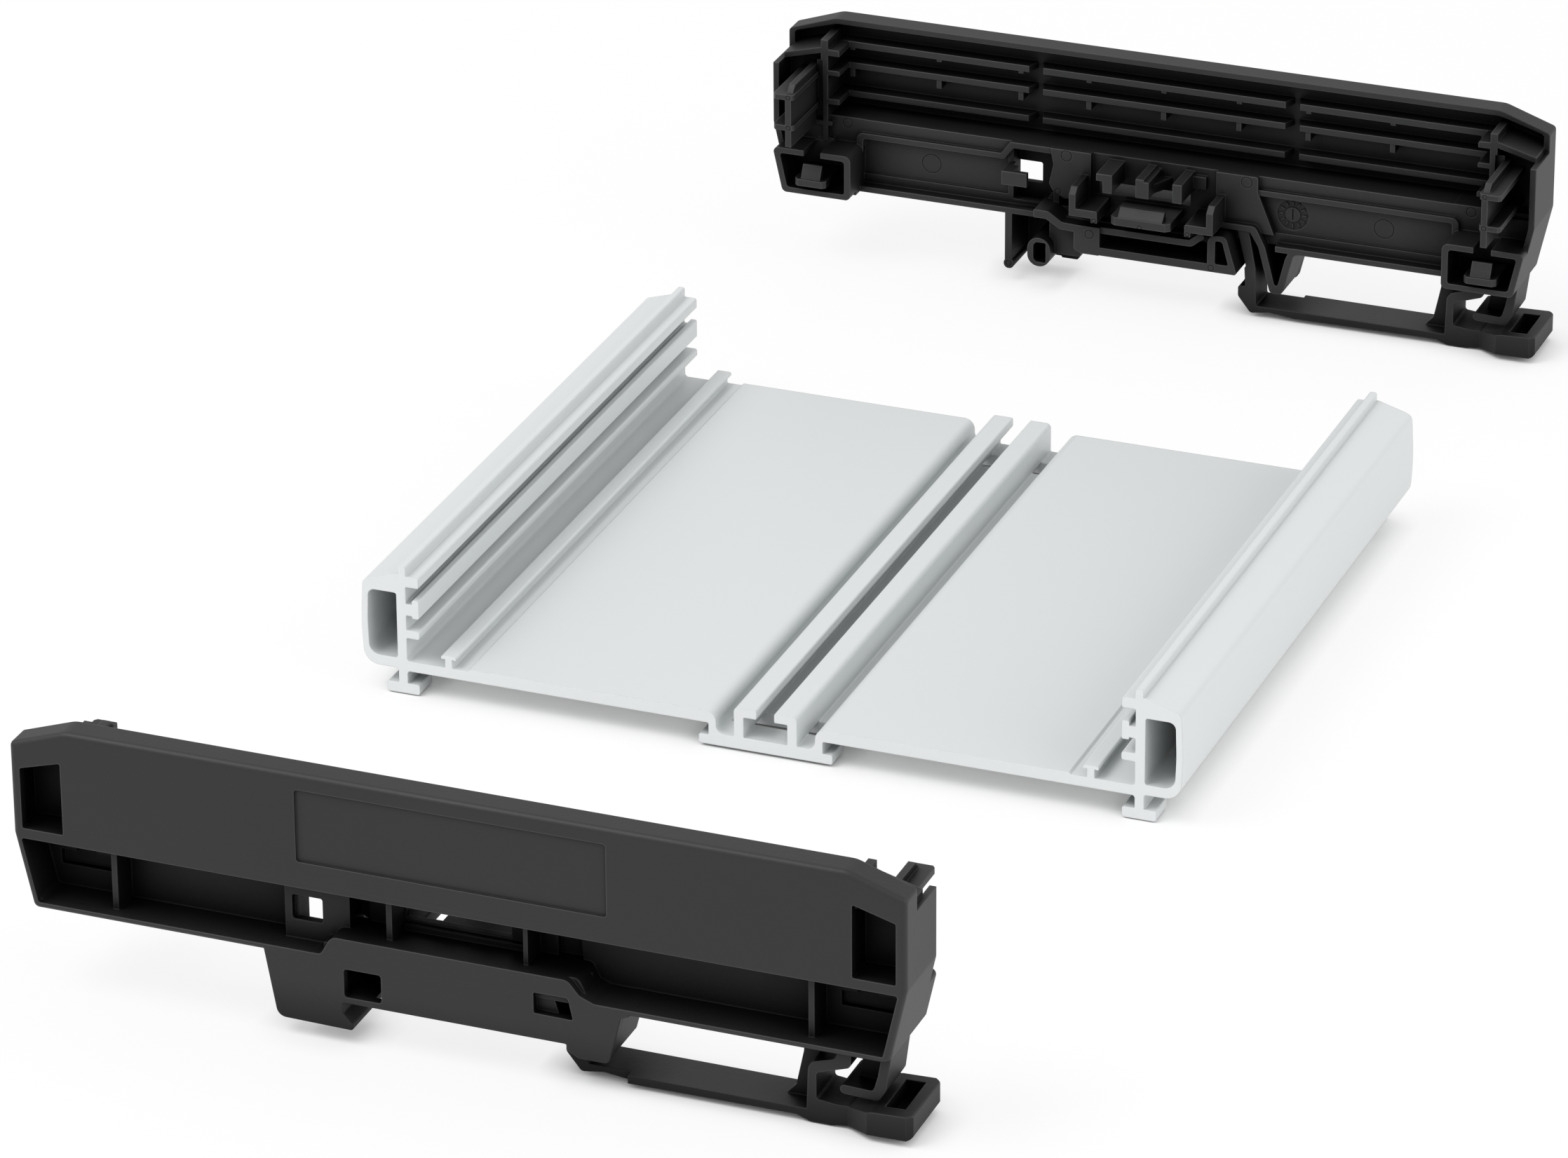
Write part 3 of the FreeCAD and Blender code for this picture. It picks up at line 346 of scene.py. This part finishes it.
# %%
materials = {
    "base_profile": light_profile,
    "front_side_element": dark_moulding,
    "rear_side_element": dark_moulding,
}
for name, material in materials.items():
    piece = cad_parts[name]
    for slot in piece.material_slots:
        slot.material = material
    print(name, "->", material.name, "slots:", len(piece.material_slots))

# %% [markdown]
# ## The camera
#
# The photograph was taken from the front left and above with a long lens. The angles
# and the distance below were measured from it. The sideways and upward offsets put
# the point between the pieces where the photograph has it.

# %%
yaw = math.radians(21.555)
pitch = math.radians(25.684)
roll = math.radians(-0.395)
focal_pixels = 11513.0
photo_width_pixels = 2236
sensor_width_mm = 36.0
distance = 1.3161
offset_x = 0.0186
offset_y = -0.0037
profile_place = Vector((0.0033, 0.0138, 0.0))

ahead = Vector((
    -math.sin(yaw) * math.cos(pitch),
    math.cos(yaw) * math.cos(pitch),
    -math.sin(pitch),
))
level = Vector((math.cos(yaw), math.sin(yaw), 0.0))
upward = level.cross(ahead)
right = math.cos(roll) * level + math.sin(roll) * upward
above = -math.sin(roll) * level + math.cos(roll) * upward
place = profile_place - ahead * distance - right * offset_x - above * offset_y

camera_data = bpy.data.cameras.new("camera")
camera_data.sensor_width = sensor_width_mm
camera_data.lens = focal_pixels / photo_width_pixels * sensor_width_mm
camera_data.clip_end = 20.0
camera = bpy.data.objects.new("camera", camera_data)
bpy.context.scene.collection.objects.link(camera)
turn = Matrix((right, above, -ahead)).transposed().to_4x4()
camera.matrix_world = Matrix.Translation(place) @ turn
bpy.context.scene.camera = camera
print("lens in mm:", round(camera_data.lens, 1), "place:", tuple(round(v, 3) for v in place))

# %% [markdown]
# ## Table and white surroundings
#
# The photograph is cut out on pure white. The table is a large plane that is mostly a
# plain white glow for the camera and for reflections. A part of it stays ordinary matt
# white, which keeps a faint shadow under the pieces and lights them from below. The
# glow also fades where a piece is only a few millimetres away, a painted contact shadow
# that makes the narrow gap under a piece dark, as on a real table.

# %%
glow_share = 0.82
contact_reach = 0.006
floor_half_size = 6.0
floor_drop = 0.0002


def make_floor():
    material = bpy.data.materials.new("floor")
    material.use_nodes = True
    tree = material.node_tree
    tree.nodes.clear()
    output = add(tree, "ShaderNodeOutputMaterial", (600, 0))
    seen = add(tree, "ShaderNodeLightPath", (-800, 200))
    white = add(tree, "ShaderNodeEmission", (0, 100), Strength=1.0)
    matt = add(tree, "ShaderNodeBsdfDiffuse", (0, -100))
    matt.inputs["Color"].default_value = (0.85, 0.85, 0.85, 1)
    mix = add(tree, "ShaderNodeMixShader", (300, 0))
    first = maths(tree, "MAXIMUM", (-600, 250), seen.outputs["Is Camera Ray"],
                  seen.outputs["Is Glossy Ray"])
    any_view = maths(tree, "MAXIMUM", (-400, 250), first, seen.outputs["Is Transmission Ray"])
    glow = maths(tree, "MULTIPLY", (-200, 250), any_view, glow_share)
    # Painted contact shadow: the glow fades near the pieces, so the table is darker under them.
    contact_shadow = use_group(tree, hollow_group, (-600, -50))
    contact_shadow.inputs["Reach"].default_value = contact_reach
    contact_shadow.inputs["Depth"].default_value = 1.5
    share = maths(tree, "MULTIPLY", (0, 250), glow, contact_shadow.outputs["Open"])
    tree.links.new(share, mix.inputs[0])
    tree.links.new(matt.outputs[0], mix.inputs[1])
    tree.links.new(white.outputs[0], mix.inputs[2])
    tree.links.new(mix.outputs[0], output.inputs[0])
    mesh = bpy.data.meshes.new("floor")
    far = floor_half_size
    corners = [(-far, -far, 0), (far, -far, 0), (far, far, 0), (-far, far, 0)]
    mesh.from_pydata(corners, [], [(0, 1, 2, 3)])
    mesh.materials.append(material)
    floor = bpy.data.objects.new("floor", mesh)
    floor.location.z = -floor_drop
    bpy.context.scene.collection.objects.link(floor)
    return floor


floor = make_floor()
print("floor at", tuple(floor.location))

# %% [markdown]
# ## Light
#
# A bright white world gives soft, even light. One large lamp from the upper left makes
# the tops lighter than the sides, as in the photograph. A weak one from the right
# lightens the faces between the tray's ribs, which the first lamp can't reach.

# %%
world_strength = 0.8
world = bpy.data.worlds.new("world")
world.use_nodes = True
background = world.node_tree.nodes["Background"]
background.inputs["Color"].default_value = (1, 1, 1, 1)
background.inputs["Strength"].default_value = world_strength
bpy.context.scene.world = world


def area_light(name, where, towards, size, power):
    data = bpy.data.lights.new(name, "AREA")
    data.shape = "SQUARE"
    data.size = size
    data.energy = power
    light = bpy.data.objects.new(name, data)
    light.location = where
    light.rotation_euler = (Vector(towards) - Vector(where)).to_track_quat("-Z", "Y").to_euler()
    bpy.context.scene.collection.objects.link(light)
    return light


key = area_light("key", (-0.6, -0.5, 1.1), (0, 0, 0), 0.7, 8.0)
fill = area_light("fill", (0.9, -0.1, 0.45), (0, 0, 0), 0.8, 3.0)
for light in (key, fill):
    print("light:", light.name, "power", light.data.energy)

# %%
bpy.context.scene.view_settings.view_transform = "Standard"
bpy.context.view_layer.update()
